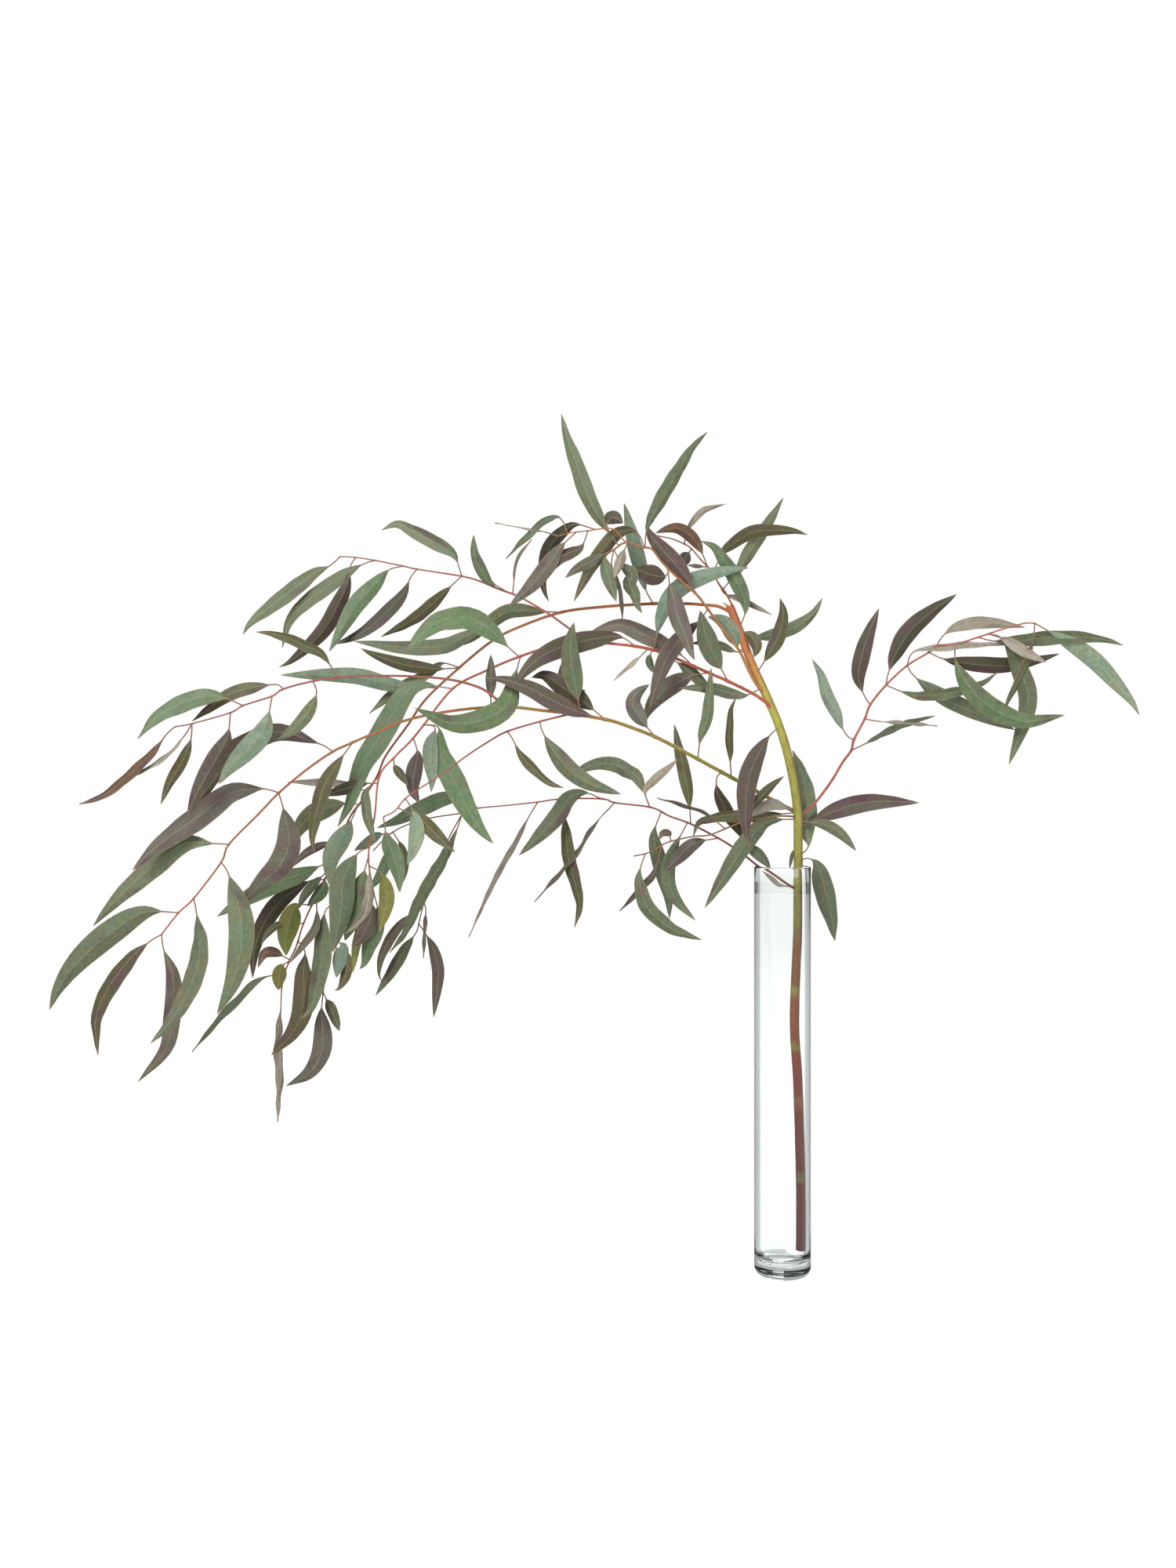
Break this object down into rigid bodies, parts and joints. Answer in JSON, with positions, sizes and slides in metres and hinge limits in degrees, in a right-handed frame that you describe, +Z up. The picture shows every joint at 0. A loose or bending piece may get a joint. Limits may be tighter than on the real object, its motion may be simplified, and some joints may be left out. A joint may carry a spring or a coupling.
{
  "type": "eucalyptus branch in a glass cylinder vase",
  "caption": "Willow-leaved eucalyptus branch arching out of a tall clear glass cylinder vase, with fine leafy side branches.",
  "frame": {"origin": "centre of the vase's base, on the table", "axes": "+Z up; +X along the branch's length, towards its short right-hand side; the front is seen along +Y"},
  "size_m": [1.3549, 0.2448, 1.0965],
  "materials": {
    "vase_glass": "gloss",
    "stem_bark": "satin",
    "leaf_grey_green": "satin",
    "leaf_green": "satin",
    "leaf_dark": "satin",
    "leaf_dry": "matte"
  },
  "bodies": {
    "root": {"glass_vase": "vase_glass", "main_stem": "stem_bark", "long_branch": "leaf_grey_green", "pink_branch": "leaf_green", "arch_branch": "leaf_green", "low_branch": "leaf_green", "crown_spray": "leaf_dark", "crown_back_spray": "leaf_dark", "right_branch": "leaf_dark", "dry_twiglet": "leaf_dry", "upper_left_spray": "leaf_grey_green", "middle_spray": "leaf_green", "high_left_spray": "leaf_dark"}
  },
  "joints": []
}
